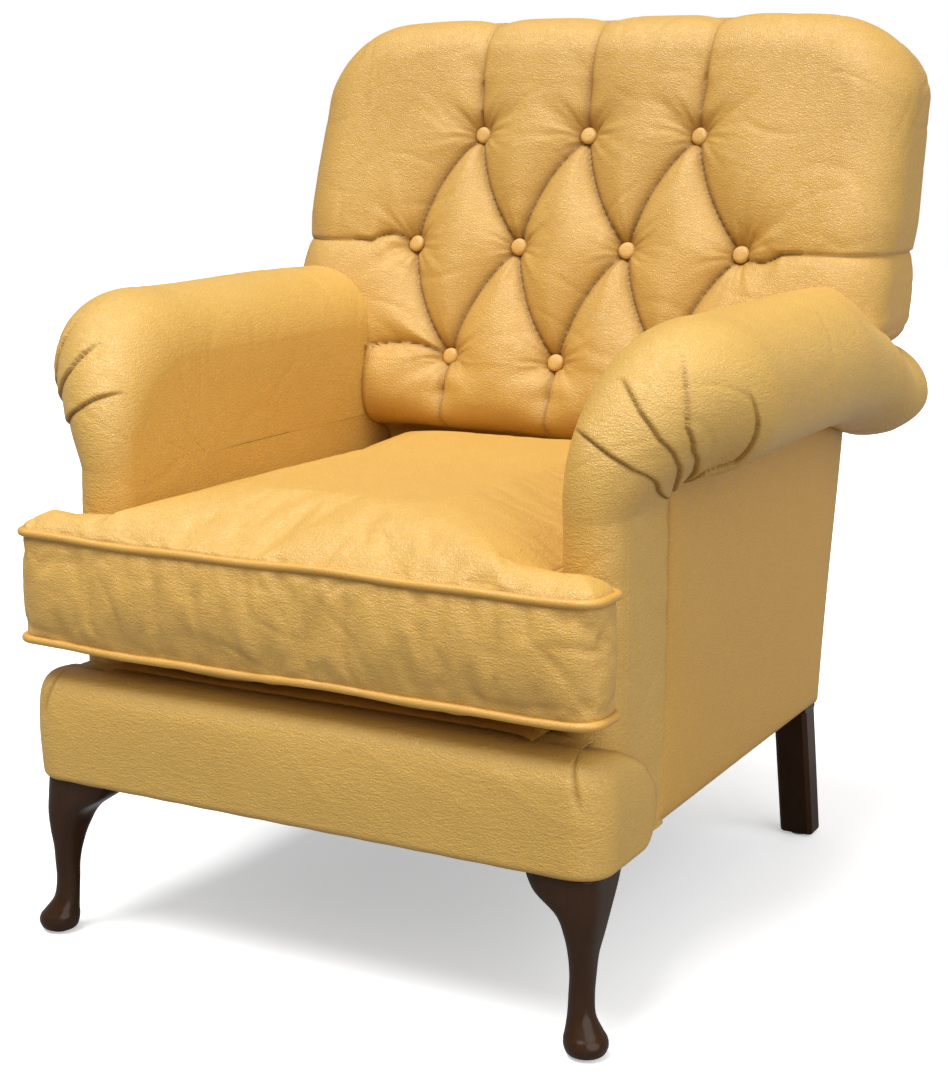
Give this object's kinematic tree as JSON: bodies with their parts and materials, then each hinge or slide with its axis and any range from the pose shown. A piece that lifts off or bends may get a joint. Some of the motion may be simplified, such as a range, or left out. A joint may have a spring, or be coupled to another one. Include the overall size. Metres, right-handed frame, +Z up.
{
  "type": "upholstered armchair",
  "caption": "Leather armchair with scroll arms, a deep-buttoned back, a loose T-shaped seat cushion and cabriole front legs.",
  "frame": {"origin": "on the floor under the middle of the chair's bounding box", "axes": "+Z up; the chair faces -Y; +X is to the right of someone facing the chair"},
  "size_m": [0.798, 0.7785, 0.937],
  "materials": {
    "leather": "pebbled mustard-tan hide, satin",
    "dark_wood": "dark mahogany stain under a gloss polish",
    "beech": "planed, unfinished",
    "steel": "zinc plated",
    "zip_metal": "antique brass",
    "jute": "plain woven jute",
    "stuffing": "needled fibre under calico",
    "black_cloth": "black spunbonded lining cloth"
  },
  "bodies": {
    "chair": {"front_rail": "beech", "rear_rail": "beech", "side_rail_left": "beech", "side_rail_right": "beech", "corner_blocks": "beech", "leg_bolts": "steel", "front_leg_left": "dark_wood", "front_leg_right": "dark_wood", "rear_leg_post_left": "dark_wood", "rear_leg_post_right": "dark_wood", "glides": "steel", "arm_post_left": "beech", "arm_post_right": "beech", "arm_rail_left": "beech", "arm_rail_right": "beech", "arm_tack_rail_left": "beech", "arm_tack_rail_right": "beech", "scroll_board_left": "beech", "scroll_board_right": "beech", "back_top_rail": "beech", "back_wing_rail": "beech", "back_tack_rail": "beech", "seat_webbing": "jute", "seat_springs": "steel", "spring_hessian": "jute", "deck_pad": "stuffing", "deck_cover": "leather", "front_edge_pad": "stuffing", "front_border": "leather", "back_webbing": "jute", "back_pad": "stuffing", "inside_back_cover": "leather", "back_buttons": "leather", "outside_back": "leather", "arm_pad_left": "stuffing", "arm_pad_right": "stuffing", "inside_arm_left": "leather", "inside_arm_right": "leather", "outside_arm_left": "leather", "outside_arm_right": "leather", "dust_cover": "black_cloth"},
    "cushion": {"cushion_core": "stuffing", "cushion_top_panel": "leather", "cushion_bottom_panel": "leather", "cushion_boxing": "leather", "cushion_piping_top": "leather", "cushion_piping_bottom": "leather", "cushion_zip": "black_cloth"},
    "zip_slider": {"zip_slider": "zip_metal"}
  },
  "joints": [
    {"name": "cushion_pull", "type": "slide", "parent": "chair", "child": "cushion", "axis": [0, -1, 0], "range_m": [0, 0.62]},
    {"name": "zip_run", "type": "slide", "parent": "cushion", "child": "zip_slider", "axis": [1, 0, 0], "range_m": [0, 0.32]}
  ]
}
